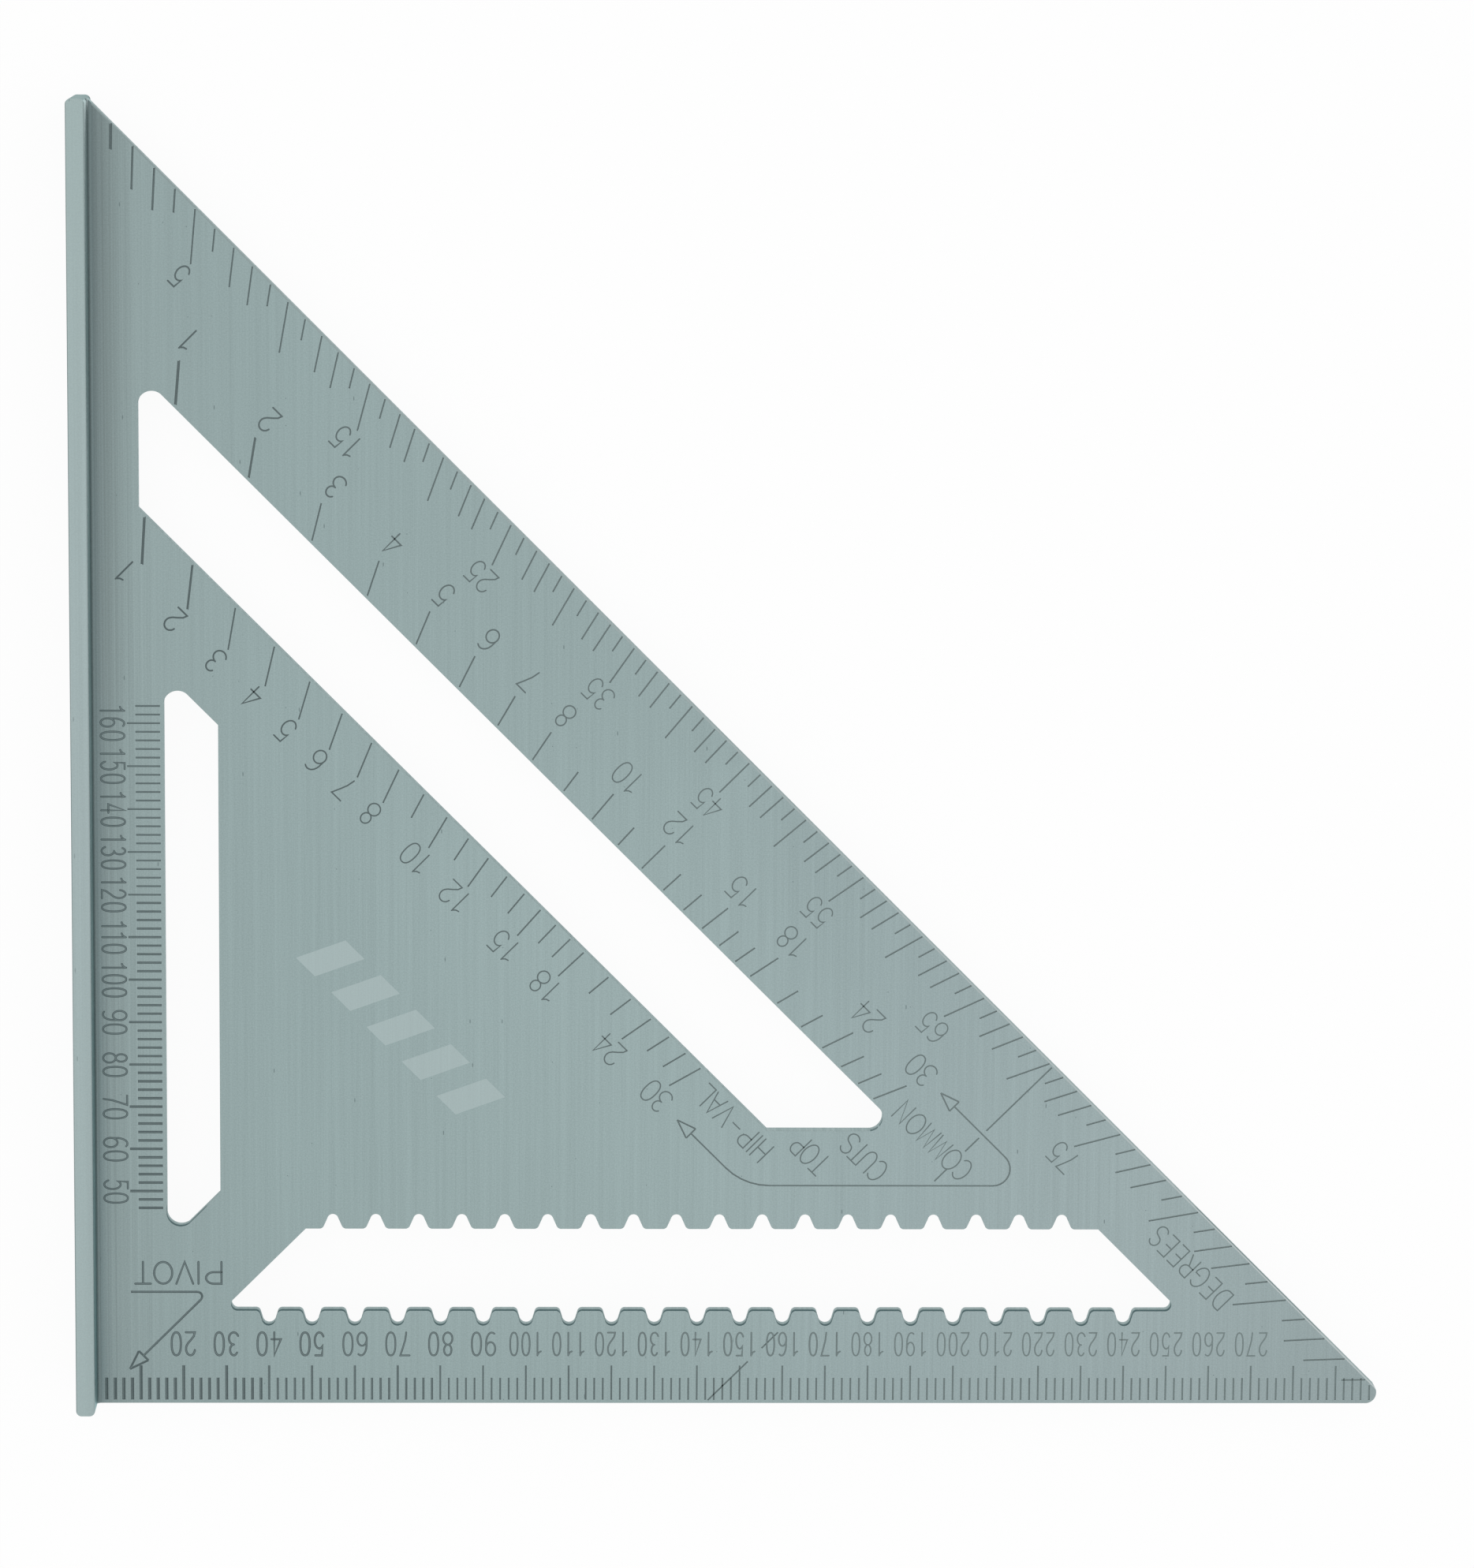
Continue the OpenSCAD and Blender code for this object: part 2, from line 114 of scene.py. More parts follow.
class Graph:
    """A material's node tree, with one short call for each kind of node."""

    def __init__(self, name):
        self.material = bpy.data.materials.new(name)
        self.material.use_nodes = True
        self.tree = self.material.node_tree
        self.nodes = self.tree.nodes
        self.nodes.clear()
        self.out = self.nodes.new("ShaderNodeOutputMaterial")
        self.where = self.nodes.new("ShaderNodeTexCoord").outputs["Object"]

    def link(self, a, b):
        self.tree.links.new(a, b)

    def feed(self, socket, value):
        """Links another node's output, or sets a plain value."""
        if hasattr(value, "links"):
            self.link(value, socket)
        else:
            socket.default_value = value

    def math(self, op, a, b=0.0, c=0.0, clamp=False):
        n = self.nodes.new("ShaderNodeMath")
        n.operation = op
        n.use_clamp = clamp
        for socket, v in zip(n.inputs, (a, b, c)):
            self.feed(socket, v)
        return n.outputs[0]

    def times(self, a, b):
        return self.math("MULTIPLY", a, b)

    def larger(self, a, b):
        return self.math("MAXIMUM", a, b)

    def size_of(self, a):
        return self.math("ABSOLUTE", a)

    def vary(self, value, strength, base=1.0):
        """Base, plus strength times how far a noise value lies from its middle."""
        return self.math("MULTIPLY_ADD", self.math("SUBTRACT", value, 0.5), strength, base)

    def geometry(self, name):
        return self.nodes.new("ShaderNodeNewGeometry").outputs[name]

    def split(self, vector):
        n = self.nodes.new("ShaderNodeSeparateXYZ")
        self.link(vector, n.inputs[0])
        return n.outputs

    def scaled(self, scale):
        """The place on the object, times a scale for each axis."""
        n = self.nodes.new("ShaderNodeVectorMath")
        n.operation = "MULTIPLY"
        self.link(self.where, n.inputs[0])
        n.inputs[1].default_value = scale
        return n.outputs[0]

    def noise(self, scale, detail, rough):
        n = self.nodes.new("ShaderNodeTexNoise")
        n.inputs["Scale"].default_value = 1.0
        n.inputs["Detail"].default_value = detail
        n.inputs["Roughness"].default_value = rough
        self.link(self.scaled(scale), n.inputs["Vector"])
        return n.outputs["Fac"]

    def ramp(self, value, lo, hi, to_lo=0.0, to_hi=1.0):
        """Runs smoothly from to_lo to to_hi as a value goes from lo to hi, and is level outside."""
        n = self.nodes.new("ShaderNodeMapRange")
        n.interpolation_type = "SMOOTHSTEP"
        self.link(value, n.inputs["Value"])
        n.inputs["From Min"].default_value = lo
        n.inputs["From Max"].default_value = hi
        n.inputs["To Min"].default_value = to_lo
        n.inputs["To Max"].default_value = to_hi
        return n.outputs["Result"]

    def mix(self, factor, a, b):
        n = self.nodes.new("ShaderNodeMix")
        n.data_type = "RGBA"
        self.feed(n.inputs["Factor"], factor)
        self.feed(n.inputs["A"], a)
        self.feed(n.inputs["B"], b)
        return n.outputs["Result"]

    def curve(self, value, stops):
        """Colour along a value, from stops of (place, colour)."""
        n = self.nodes.new("ShaderNodeValToRGB")
        ramp = n.color_ramp
        ramp.elements[0].position, ramp.elements[0].color = stops[0]
        ramp.elements[1].position, ramp.elements[1].color = stops[-1]
        for place, colour in stops[1:-1]:
            ramp.elements.new(place).color = colour
        self.link(value, n.inputs["Fac"])
        return n.outputs["Color"]

    def bright(self, colour, factor):
        """A colour times a value near 1."""
        n = self.nodes.new("ShaderNodeVectorMath")
        n.operation = "SCALE"
        self.link(colour, n.inputs[0])
        self.feed(n.inputs["Scale"], factor)
        return n.outputs[0]

    def principled(self, colour, rough, metallic, normal, **constants):
        n = self.nodes.new("ShaderNodeBsdfPrincipled")
        self.feed(n.inputs["Base Color"], colour)
        self.feed(n.inputs["Roughness"], rough)
        n.inputs["Metallic"].default_value = metallic
        for key, v in constants.items():
            n.inputs[key.replace("_", " ")].default_value = v
        self.link(normal, n.inputs["Normal"])
        self.link(n.outputs[0], self.out.inputs["Surface"])
        return self.material

    def voronoi(self, scale):
        """Distance to scattered points on the face, and a number for each of them."""
        n = self.nodes.new("ShaderNodeTexVoronoi")
        n.voronoi_dimensions = "2D"
        n.inputs["Scale"].default_value = 1.0
        self.link(self.scaled(scale), n.inputs["Vector"])
        return n.outputs["Distance"], self.split(n.outputs["Color"])[0]

    def bump(self, height, strength, distance, under=None):
        n = self.nodes.new("ShaderNodeBump")
        n.inputs["Strength"].default_value = strength
        n.inputs["Distance"].default_value = distance
        self.link(height, n.inputs["Height"])
        if under is not None:
            self.link(under, n.inputs["Normal"])
        return n.outputs[0]


# ---------------------------------------------------------------- materials, places in metres
SPAN = 0.3                                   # about a leg; tones are given along it, 0 to 1
DIE_LINES = (4300, 30, 900)                  # noise scale, drawn out along the fence
FINE_BUMP = 0.00002
NOTCH_REACH, NOTCH_SOFT = 0.005, 0.001       # past the slot's own box, and the edge of that mask
SHEEN = rgb(176, 196, 196)
ROOT_SHADE = rgb(116, 131, 132)              # the fence's wall at its darkest


def brushed(g, tone, streak, grain):
    """Extruded metal: die lines along the fence, a fine matt grain and slow clouds, on a base tone."""
    fine = g.noise(DIE_LINES, 3, 0.6)
    wide = g.noise((850, 5, 300), 2, 0.5)
    dust = g.noise((2900, 2900, 2900), 2, 0.65)
    cloud = g.noise((22, 13, 20), 3, 0.55)
    s = g.vary(fine, streak)
    s = g.vary(wide, streak * 0.55, s)
    s = g.vary(dust, grain, s)
    s = g.vary(cloud, 0.06, s)
    return g.bright(tone, s), fine, dust


def specks(g, cells, radius, share):
    """Sparse dark pin marks on the face, as a mask."""
    distance, pick = g.voronoi(cells)
    spot = g.ramp(distance, radius * 0.6, radius, 1.0, 0.0)
    return g.times(spot, g.ramp(pick, share, share - 0.02))


def bare_metal(g, tone, fine, rough, normal):
    """Uncoated aluminium; the die lines make it rougher."""
    return g.principled(tone, g.math("MULTIPLY_ADD", fine, 0.16, rough), 1.0, normal,
                        Anisotropic=0.35, Specular_Tint=SHEEN)


def face_tone(g, x, y, across):
    """The face's tone, with painted shade: it is painted darker into the root of the fence, where the
    fence shades it, with the die's own bands beside it.
    """
    tone = g.curve(across, [
        (0.000, rgb(126, 139, 140)),
        (0.005, rgb(136, 150, 151)),
        (0.013, rgb(139, 154, 154)),
        (0.030, rgb(144, 160, 160)),
        (0.055, rgb(148, 165, 165)),
        (0.150, rgb(151, 169, 169)),
        (0.450, rgb(157, 175, 175)),
        (0.630, rgb(160, 177, 178)),
        (0.830, rgb(162, 178, 179)),
        (1.000, rgb(157, 172, 173)),
    ])
    # painted shade: a little darker towards the far corner and close to the heel, for the way the light
    # falls
    far_corner_shade = g.times(g.ramp(g.math("ADD", x, y), 0.19, 0.30), g.ramp(y, 0.05, 0.15))
    tone = g.bright(tone, g.ramp(far_corner_shade, 0.0, 1.0, 1.0, 0.965))
    tone = g.bright(tone, g.ramp(y, 0.0, 0.03, 0.965, 1.0))
    # the fence shades its foot, more so towards the far end
    shade = g.times(g.ramp(x, 0.0, 0.012, 1.0, 0.0), g.ramp(y, 0.02, 0.25, 0.0, 0.26))
    tone = g.bright(tone, g.math("SUBTRACT", 1.05, shade))
    return g.bright(tone, g.ramp(x, 0.0, 0.02, 1.0, 0.955))


def punched_tone(g, z, shear):
    """A punched wall is dark and shiny where the punch went in and pale where the metal broke."""
    deep = g.math("DIVIDE", z, blade_lo.z, clamp=True)
    tone = g.curve(deep, [(0.0, rgb(84, 98, 101)), (0.33, rgb(104, 118, 121)),
                          (0.5, rgb(178, 188, 188)), (1.0, rgb(202, 210, 210))])
    return g.bright(tone, g.vary(shear, 0.35))


def punched_places(g, y, nx, ny):
    """Where a wall is punched, as a mask: in the notched slot, and on roundings, which are told by
    their normal. A facet of a rounding that faces a straight way counts as straight."""
    low, high = slot_lo.y - NOTCH_REACH, slot_hi.y + NOTCH_REACH
    notched = g.times(g.ramp(y, low - NOTCH_SOFT, low), g.ramp(y, high, high + NOTCH_SOFT, 1.0, 0.0))
    square_on = g.larger(g.size_of(nx), g.size_of(ny))
    rising = g.times(g.size_of(g.math("ADD", nx, ny)), 1 / ROOT2)
    falling = g.times(g.size_of(g.math("SUBTRACT", nx, ny)), 1 / ROOT2)
    straight = g.larger(square_on, g.larger(rising, falling))
    return g.larger(notched, g.ramp(straight, 0.9993, 0.9998, 0.8, 0.0))


def blade_material():
    g = Graph("blade_metal")
    x, y, z = g.split(g.where)
    nx, ny, nz = g.split(g.geometry("True Normal"))
    across = g.math("DIVIDE", x, SPAN, clamp=True)
    tone, fine, dust = brushed(g, face_tone(g, x, y, across), 0.27, 0.38)
    # die lines, strongest beside the fence
    near = g.ramp(x, 0.0, 0.022, 1.0, 0.0)
    lines = g.noise((2300, 3.5, 200), 2, 0.65)
    tone = g.bright(tone, g.vary(lines, g.times(near, 0.62)))
    dots = g.larger(specks(g, (150, 34, 1), 0.022, 0.28), specks(g, (180, 130, 1), 0.022, 0.1))
    dots = g.times(dots, g.ramp(g.size_of(nz), 0.8, 0.9, 0.0, 0.6))
    tone = g.mix(dots, tone, rgb(84, 98, 100))
    # bevels and walls are told by their slope
    bevel = g.times(g.ramp(nz, 0.55, 0.62), g.ramp(nz, 0.80, 0.88, 1.0, 0.0))
    # painted highlight: the bevels are painted pale, paler away from the fence, for the light they
    # catch
    bevel_highlight = g.curve(across, [(0.0, rgb(158, 174, 174)), (0.4, rgb(182, 195, 195)),
                               (1.0, rgb(214, 223, 223))])
    tone = g.mix(g.times(bevel, 0.85), tone, bevel_highlight)
    wall = g.ramp(g.size_of(nz), 0.15, 0.3, 1.0, 0.0)
    # the straight walls are painted pale: bare cut metal with a grain, plus a painted highlight for the
    # light they catch
    shear = g.noise((1500, 1500, 60), 2, 0.6)
    pale_wall = g.curve(shear, [(0.25, rgb(176, 187, 187)), (0.75, rgb(206, 214, 214))])
    side = g.mix(punched_places(g, y, nx, ny), pale_wall, punched_tone(g, z, shear))
    tone = g.mix(wall, tone, side)
    normal = g.bump(dust, 0.12, FINE_BUMP, g.bump(fine, 0.2, 0.00003))
    return bare_metal(g, tone, fine, 0.36, normal)


def fence_material():
    g = Graph("fence_metal")
    x, y, z = g.split(g.where)
    _, ny, nz = g.split(g.geometry("True Normal"))
    height = g.math("DIVIDE", y, SPAN, clamp=True)
    level = g.times(g.ramp(g.size_of(nz), 0.55, 0.9),
                    g.ramp(g.size_of(g.math("ADD", z, 0.002)), 0.006, 0.0085))
    # painted light: the fence's top is painted a little paler towards the heel and darker towards the
    # far end, for the way the light falls
    flat = g.curve(height, [(0.0, rgb(154, 172, 172)), (0.5, rgb(152, 168, 169)),
                            (1.0, rgb(145, 163, 162))])
    # painted shade: the fence's sides are painted darker than its top, down to ROOT_SHADE at the far
    # end
    side = g.curve(height, [(0.0, rgb(122, 137, 138)), (1.0, ROOT_SHADE)])
    # painted light and shade: the wall over the marked face is painted pale for the light that the
    # bright blade throws on it, and the root below it is painted dark as shade
    inner = g.times(g.ramp(x, -0.0008, -0.0003), g.ramp(z, 0.0008, 0.0011))
    glow = g.curve(height, [(0.0, rgb(212, 236, 238)), (0.6, rgb(232, 248, 248)),
                            (1.0, rgb(240, 252, 252))])
    root = g.times(g.ramp(x, -0.0001, 0.0001), g.ramp(z, 0.0008, 0.0011, 1.0, 0.0))
    side = g.mix(g.larger(root, inner), side, g.mix(g.ramp(nz, 0.1, 0.75), glow, ROOT_SHADE))
    side = g.mix(g.ramp(g.size_of(ny), 0.6, 0.8), side, rgb(178, 196, 195))
    tone, fine, dust = brushed(g, g.mix(level, side, flat), 0.22, 0.36)
    lines = g.noise((1500, 3, 1500), 3, 0.65)
    tone = g.bright(tone, g.vary(lines, 0.3))
    dots = g.times(specks(g, (260, 60, 1), 0.045, 0.22), g.times(level, 0.6))
    tone = g.mix(dots, tone, rgb(88, 102, 104))
    # handling wear and a painted highlight brighten the long edges, where their rounding catches the
    # light
    edge = g.ramp(g.geometry("Pointiness"), 0.515, 0.56, 0.0, 0.3)
    edge = g.times(edge, g.ramp(x, -0.0002, 0.0002, 1.0, 0.0))
    tone = g.mix(edge, tone, rgb(180, 194, 194))
    normal = g.bump(dust, 0.12, FINE_BUMP, g.bump(lines, 0.25, 0.00004))
    return bare_metal(g, tone, fine, 0.34, normal)


def mark_material(name, strong, faint, metallic=0.4, centre=None):
    """The darkened floor of a groove: uneven oxide, strong near the pivot and faint towards the tip.
    centre gives the distance from the middle of a wide groove, where metal shows through again."""
    g = Graph(name)
    x, y, _ = g.split(g.where)
    burn = g.noise((2300, 2300, 2300), 3, 0.65)
    patch = g.noise((90, 90, 90), 2, 0.5)
    out_from_pivot = g.math("ADD", x, g.times(y, 0.35))
    tone = g.mix(g.ramp(out_from_pivot, 0.03, 0.23), rgb(*strong), rgb(*faint))
    if centre is not None:
        core = g.ramp(centre(g, x, y), 0.00006, 0.00014, 1.0, 0.0)
        core = g.times(core, g.ramp(x, 0.05, 0.13, 0.75, 0.0))
        tone = g.mix(core, tone, rgb(*[c + 26 for c in strong]))
    s = g.vary(patch, 0.25, g.vary(burn, 0.45))
    rough = g.math("MULTIPLY_ADD", burn, 0.2, 0.5)
    return g.principled(g.bright(tone, s), rough, metallic, g.bump(burn, 0.3, FINE_BUMP))


def every_2_mm_x(g, x, y):
    return g.math("PINGPONG", x, MM)


def every_2_mm_y(g, x, y):
    return g.math("PINGPONG", y, MM)


def along_arrow(g, x, y):
    """The distance from the arrow's slanted shaft or its level line, whichever is nearer."""
    slant = g.math("DIVIDE", g.size_of(g.math("SUBTRACT", x, y)), ROOT2)
    return g.math("MINIMUM", slant, g.size_of(g.math("SUBTRACT", y, arrow_hi.y - 0.00025)))


def etch_material():
    """A pale etched area, frosted, with the die lines still showing."""
    g = Graph("pale_etch")
    frost = g.noise((3200, 3200, 3200), 2, 0.65)
    s = g.vary(g.noise(DIE_LINES, 3, 0.6), 0.14, g.vary(frost, 0.22))
    flat = g.nodes.new("ShaderNodeRGB").outputs[0]
    flat.default_value = rgb(174, 190, 190)
    rough = g.math("MULTIPLY_ADD", frost, 0.1, 0.55)
    return g.principled(g.bright(flat, s), rough, 0.85, g.bump(frost, 0.15, FINE_BUMP))


STRONG, FAINT = (90, 105, 106), (122, 136, 136)
BLADE = blade_material()
FENCE = fence_material()
MARK = mark_material("mark", STRONG, FAINT)   # for the marks with no material of their own
INK = mark_material("mark_numeral", (76, 90, 91), (108, 122, 122))
INK_CORE = mark_material("mark_numeral_core", [c + 24 for c in STRONG], [c + 8 for c in FAINT], 0.6)
ETCH = etch_material()
SPECIAL = {
    "blade": BLADE,
    "fence": FENCE,
    "heel_scale": mark_material("mark_heel_scale", STRONG, FAINT, centre=every_2_mm_x),
    "fence_scale": mark_material("mark_fence_scale", STRONG, FAINT, centre=every_2_mm_y),
    "pivot_arrow": mark_material("mark_pivot_arrow", STRONG, FAINT, centre=along_arrow),
}
for node, obj in frame["nodes"].items():
    obj.data.materials.clear()
    obj.data.materials.append(SPECIAL.get(node, MARK))


# ---------------------------------------------------------------- plain single-stroke figures
ARC_STEP = 15                                 # degrees, at most, between two points of an arc
RING_STEPS = 28


def arc(cx, cy, rx, ry, start, end):
    n = max(3, int(abs(end - start) / ARC_STEP) + 1)
    out = []
    for i in range(n + 1):
        a = math.radians(start + (end - start) * i / n)
        out.append((cx + rx * math.cos(a), cy + ry * math.sin(a)))
    return out


def ring(cx, cy, rx, ry, square=1.0):
    """A closed round; square below 1 flattens its sides."""
    out = []
    for i in range(RING_STEPS):
        a = math.radians(90 + 360 * i / RING_STEPS)
        c, s = math.cos(a), math.sin(a)
        out.append((cx + rx * math.copysign(abs(c) ** square, c),
                    cy + ry * math.copysign(abs(s) ** square, s)))
    return out + [out[0]]


def turned(strokes):
    """The figure upside down."""
    return [[(1 - x, 1 - y) for x, y in s] for s in strokes]


# each figure's strokes in a box from 0 to 1 both ways
SIX = [ring(0.5, 0.29, 0.5, 0.29), [(0.02, 0.36)] + arc(0.62, 0.56, 0.6, 0.44, 175, 62)]
FIGURES = {
    "0": [ring(0.5, 0.5, 0.5, 0.5, 0.86)],
    "1": [[(0.56, 0), (0.56, 1)], [(0.1, 0.82), (0.34, 0.86), (0.55, 0.97)]],
    "2": [arc(0.5, 0.72, 0.48, 0.28, 170, -28)
          + [(0.76, 0.47), (0.45, 0.33), (0.14, 0.17), (0.02, 0.0), (1.0, 0.0)]],
    "3": [arc(0.46, 0.765, 0.40, 0.235, 150, -90), arc(0.46, 0.265, 0.52, 0.265, 90, -155)],
    "4": [[(0.72, 0), (0.72, 1), (0, 0.3), (1.02, 0.3)]],
    "5": [[(0.92, 1), (0.2, 1), (0.12, 0.58)] + arc(0.48, 0.35, 0.5, 0.35, 125, -150)],
    "6": SIX,
    "7": [[(0, 1), (1, 1), (0.72, 0.66), (0.48, 0.34), (0.36, 0)]],
    "8": [ring(0.5, 0.765, 0.40, 0.235), ring(0.5, 0.265, 0.5, 0.265)],
    "9": turned(SIX),
    "-": [[(0, 0.5), (1, 0.5)]],
    "A": [[(0, 0), (0.5, 1), (1, 0)], [(0.19, 0.36), (0.81, 0.36)]],
    "C": [arc(0.53, 0.5, 0.53, 0.5, 48, 312)],
    "D": [[(0, 0), (0, 1), (0.4, 1)] + arc(0.4, 0.5, 0.6, 0.5, 80, -80) + [(0.4, 0), (0, 0)]],
    "E": [[(1, 1), (0, 1), (0, 0), (1, 0)], [(0, 0.52), (0.8, 0.52)]],
    "G": [arc(0.53, 0.5, 0.53, 0.5, 48, 345) + [(1.0, 0.46), (0.6, 0.46)]],
    "H": [[(0, 0), (0, 1)], [(1, 0), (1, 1)], [(0, 0.5), (1, 0.5)]],
    "I": [[(0.5, 0), (0.5, 1)]],
    "L": [[(0, 1), (0, 0), (1, 0)]],
    "M": [[(0, 0), (0.14, 1), (0.5, 0.1), (0.86, 1), (1, 0)]],
    "N": [[(0, 0), (0, 1), (1, 0), (1, 1)]],
    "O": [ring(0.5, 0.5, 0.5, 0.5)],
    "P": [[(0, 0), (0, 1), (0.5, 1)] + arc(0.5, 0.735, 0.5, 0.265, 80, -80) + [(0.5, 0.47), (0, 0.47)]],
    "R": [[(0, 0), (0, 1), (0.5, 1)] + arc(0.5, 0.745, 0.5, 0.255, 80, -80) + [(0.5, 0.49), (0, 0.49)],
          [(0.5, 0.49), (1, 0)]],
    "S": [arc(0.5, 0.75, 0.45, 0.25, 25, 235) + arc(0.5, 0.25, 0.5, 0.25, 55, -155)],
    "T": [[(0, 1), (1, 1)], [(0.5, 0), (0.5, 1)]],
    "U": [[(0, 1), (0, 0.38)] + arc(0.5, 0.36, 0.5, 0.36, 180, 360) + [(1, 1)]],
    "V": [[(0, 1), (0.5, 0), (1, 1)]],
}
LIFT = 0.012                                  # how far a figure stands above the face, in mm
CAP = 5                                       # points that round off an end of a stroke
SHARPEST = 0.45                               # limits how far a corner of a stroke reaches out
NEAR_ZERO = 1e-6


def left_of(way):
    return Vector((-way.y, way.x))


class Etching:
    """Flat strokes of one width, gathered into one mesh that lies on the marked face."""

    def __init__(self, name, material, slot, core=None):
        self.name, self.materials, self.slot_name = name, [m for m in (material, core) if m], slot
        self.verts, self.faces, self.layer = [], [], []
        self.low, self.high = 0.0, LIFT
        self.turn = 0                         # neighbouring characters take turns in height

    def raise_up(self, outline):
        """Adds the outline at both heights, with the wall between them."""
        n, k = len(outline), len(self.verts)
        for h in (self.low, self.high):
            self.verts += [(x * MM, y * MM, (face + h) * MM) for x, y in outline]
        for i in range(n):
            j = (i + 1) % n
            self.faces.append([k + i, k + j, k + n + j, k + n + i])

    def cover(self, k, n, places):
        """A face on top and one below, over these places of the n points that start at k."""
        self.faces.append([k + n + i for i in places])
        self.faces.append([k + i for i in places[::-1]])

    def band(self, outline):
        """A thin closed slab with this outline, given anticlockwise in mm."""
        n, k = len(outline), len(self.verts)
        self.raise_up(outline)
        self.cover(k, n, list(range(n)))

    def stroke(self, points, width):
        closed = len(points) > 3 and math.dist(points[0], points[-1]) < NEAR_ZERO
        pts = [Vector(p) for p in (points[:-1] if closed else points)]
        n, half = len(pts), width / 2

        def way(i, j):
            return (pts[j % n] - pts[i % n]).normalized()

        left, right = [], []
        for i in range(n):
            before = way(i - 1, i) if closed or i > 0 else None
            after = way(i, i + 1) if closed or i < n - 1 else None
            a, b = before or after, after or before
            t = (a + b).normalized() if (a + b).length > NEAR_ZERO else a
            side = left_of(t)
            reach = half / max(SHARPEST, side.dot(left_of(a)))
            left.append(pts[i] + side * reach)
            right.append(pts[i] - side * reach)
        if closed:
            self.loop(left, right)
            return
        start, end = [], []
        first, last = way(0, 1), way(n - 2, n - 1)
        for i in range(1, CAP + 1):
            a = math.pi * i / (CAP + 1)
            end.append(pts[-1] + (last * math.sin(a) - left_of(last) * math.cos(a)) * half)
            start.append(pts[0] - (first * math.sin(a) - left_of(first) * math.cos(a)) * half)
        self.strip(left, right, start, end)

    def strip(self, left, right, start, end):
        """A stroke with two ends: a row of four-sided faces, and one face for each round end."""
        m, k = len(left), len(self.verts)
        outline = right + end + left[::-1] + start
        n = len(outline)
        self.raise_up([tuple(p) for p in outline])
        for i in range(m - 1):
            across = 2 * m + CAP - 1 - i      # the place that lies over from i
            self.cover(k, n, [i, i + 1, across - 1, across])
        self.cover(k, n, list(range(m - 1, m + CAP + 1)))
        self.cover(k, n, list(range(2 * m + CAP - 1, n)) + [0])

    def loop(self, left, right):
        """A stroke that runs round into itself."""
        n, k = len(left), len(self.verts)
        for row in (left, right):
            for h in (self.low, self.high):
                self.verts += [(p.x * MM, p.y * MM, (face + h) * MM) for p in row]
        l0, l1, r0, r1 = k, k + n, k + 2 * n, k + 3 * n
        for i in range(n):
            j = (i + 1) % n
            self.faces.append([r1 + i, r1 + j, l1 + j, l1 + i])
            self.faces.append([l0 + i, l0 + j, r0 + j, r0 + i])
            self.faces.append([r0 + i, r0 + j, r1 + j, r1 + i])
            self.faces.append([l1 + i, l1 + j, l0 + j, l0 + i])

    def figure(self, char, centre, right, size, width):
        """One character of size (width, height), centred, with its right-hand way along right."""
        r = Vector(right).normalized()
        up = left_of(r)
        for level, share in enumerate((1.0, 0.4)[:len(self.materials)]):
            self.low, self.high = level * LIFT, LIFT * (1 + level / 2 + self.turn / 24)
            for points in FIGURES[char]:
                self.high += LIFT / 12        # crossing strokes never share a plane
                self.stroke([tuple(Vector(centre) + r * (x - 0.5) * size[0] + up * (y - 0.5) * size[1])
                             for x, y in points], width * share)
            self.layer += [level] * (len(self.faces) - len(self.layer))
        self.low, self.high = 0.0, LIFT
        self.turn = 1 - self.turn

    def number(self, value, centre, right, size, pitch, width, kern=0.0):
        """Digits a pitch apart, closer by kern beside a 1."""
        text = str(value)
        r = Vector(right).normalized()
        places = [0.0]
        for a, b in zip(text, text[1:]):
            places.append(places[-1] + pitch - kern * ((a == "1") + (b == "1")))
        for char, place in zip(text, places):
            self.figure(char, Vector(centre) + r * (place - places[-1] / 2), right, size, width)

    def word(self, text, start, right, steps, letters, height, width):
        """Letters of these widths, with these steps between their centres, from the first at start."""
        r, at = Vector(right).normalized(), Vector(start)
        for char, letter, step in zip(text, letters, (*steps, 0.0)):
            self.figure(char, at, right, (letter, height), width)
            at = at + r * step

    def finish(self):
        mesh = bpy.data.meshes.new(self.name)
        mesh.from_pydata(self.verts, [], self.faces)
        for material in self.materials:
            mesh.materials.append(material)
        self.layer += [0] * (len(self.faces) - len(self.layer))
        mesh.polygons.foreach_set("material_index", self.layer)
        mesh.update()
        piece = bpy.data.objects.new(self.name, mesh)
        bpy.context.scene.collection.objects.link(piece)
        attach(piece, "root")


def diagonal(total, difference):
    """The point with this x + y and x - y."""
    return ((total + difference) / 2, (total - difference) / 2)


# ---------------------------------------------------------------- burrs, sizes in mm
# The punch bit deeper near the pivot, and threw up a dark burr on one side of each mark.
RULER_EDGE, RAY_EDGE = 0.21, 0.185            # from the middle of a mark to its burr
HEEL_BURRS = ((20, 0.34), (40, 0.26), (80, 0.1))        # up to this place, this wide
FENCE_BURRS = ((80, 0.18), (120, 0.1))


def burr(e, p, q, start, width):
    """A dark strip on the left of the way from p to q, start mm off its line."""
    p, q = Vector(p), Vector(q)
    side = left_of((q - p).normalized())
    e.band([tuple(v) for v in (p + side * start, q + side * start, q + side * (start + width),
                               p + side * (start + width))])


def spans(node, group, length):
    """For each mark of a scale, told apart by group(x, y), the lowest and highest length(x, y)."""
    found = {}
    for v in frame["nodes"][node].data.vertices:
        px, py = v.co.x / MM, v.co.y / MM
        found.setdefault(group(px, py), []).append(length(px, py))
    return {k: (min(v), max(v)) for k, v in found.items()}


def burr_width(place, steps):
    return next((width for limit, width in steps if place < limit), None)


